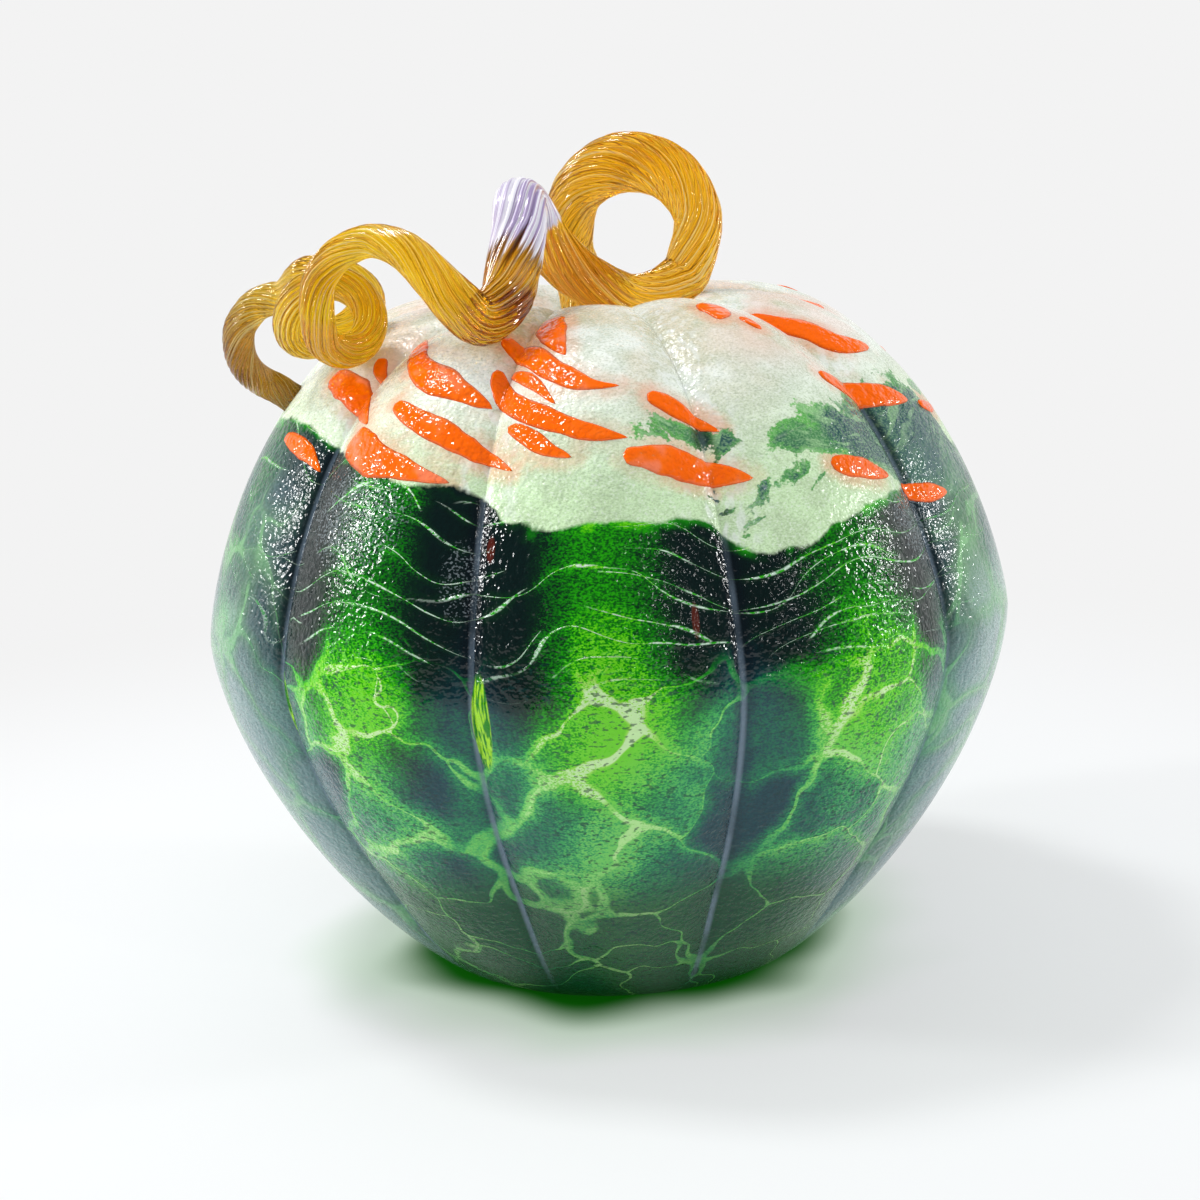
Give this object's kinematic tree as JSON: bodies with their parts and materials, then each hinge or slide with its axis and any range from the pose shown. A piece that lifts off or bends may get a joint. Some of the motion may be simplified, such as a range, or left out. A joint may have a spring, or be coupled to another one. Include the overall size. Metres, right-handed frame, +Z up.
{
  "type": "glass pumpkin",
  "caption": "Hollow ribbed glass pumpkin with a flat base, a dimpled top, raised orange glass shards and a curled amber stem that loops and trails over its shoulder.",
  "frame": {"origin": "middle of the flat base, on the body's axis", "axes": "+Z up, -Y towards the side that is usually shown to the front, with the vine trailing towards -X"},
  "size_m": [0.1844, 0.188, 0.1916],
  "materials": {
    "green_glass": "glossy with a fine granular texture, mottled from milky pale green at the top to deep green below",
    "amber_glass": "glossy, clear, finely ribbed and twisted",
    "orange_glass": "glossy, opaque"
  },
  "bodies": {
    "root": {"body_shell": "green_glass", "stem_and_vine": "amber_glass", "orange_shard_01": "orange_glass", "orange_shard_02": "orange_glass", "orange_shard_03": "orange_glass", "orange_shard_04": "orange_glass", "orange_shard_05": "orange_glass", "orange_shard_06": "orange_glass", "orange_shard_07": "orange_glass", "orange_shard_08": "orange_glass", "orange_shard_09": "orange_glass", "orange_shard_10": "orange_glass", "orange_shard_11": "orange_glass", "orange_shard_12": "orange_glass", "orange_shard_13": "orange_glass", "orange_shard_14": "orange_glass", "orange_shard_15": "orange_glass", "orange_shard_16": "orange_glass", "orange_shard_17": "orange_glass", "orange_shard_18": "orange_glass", "orange_shard_19": "orange_glass", "orange_shard_20": "orange_glass", "orange_shard_21": "orange_glass", "orange_shard_22": "orange_glass", "orange_shard_23": "orange_glass", "orange_shard_24": "orange_glass", "orange_shard_25": "orange_glass", "orange_shard_26": "orange_glass", "orange_shard_27": "orange_glass", "orange_shard_28": "orange_glass", "orange_shard_29": "orange_glass", "orange_shard_30": "orange_glass", "orange_shard_31": "orange_glass", "orange_shard_32": "orange_glass", "orange_shard_33": "orange_glass"}
  },
  "joints": []
}
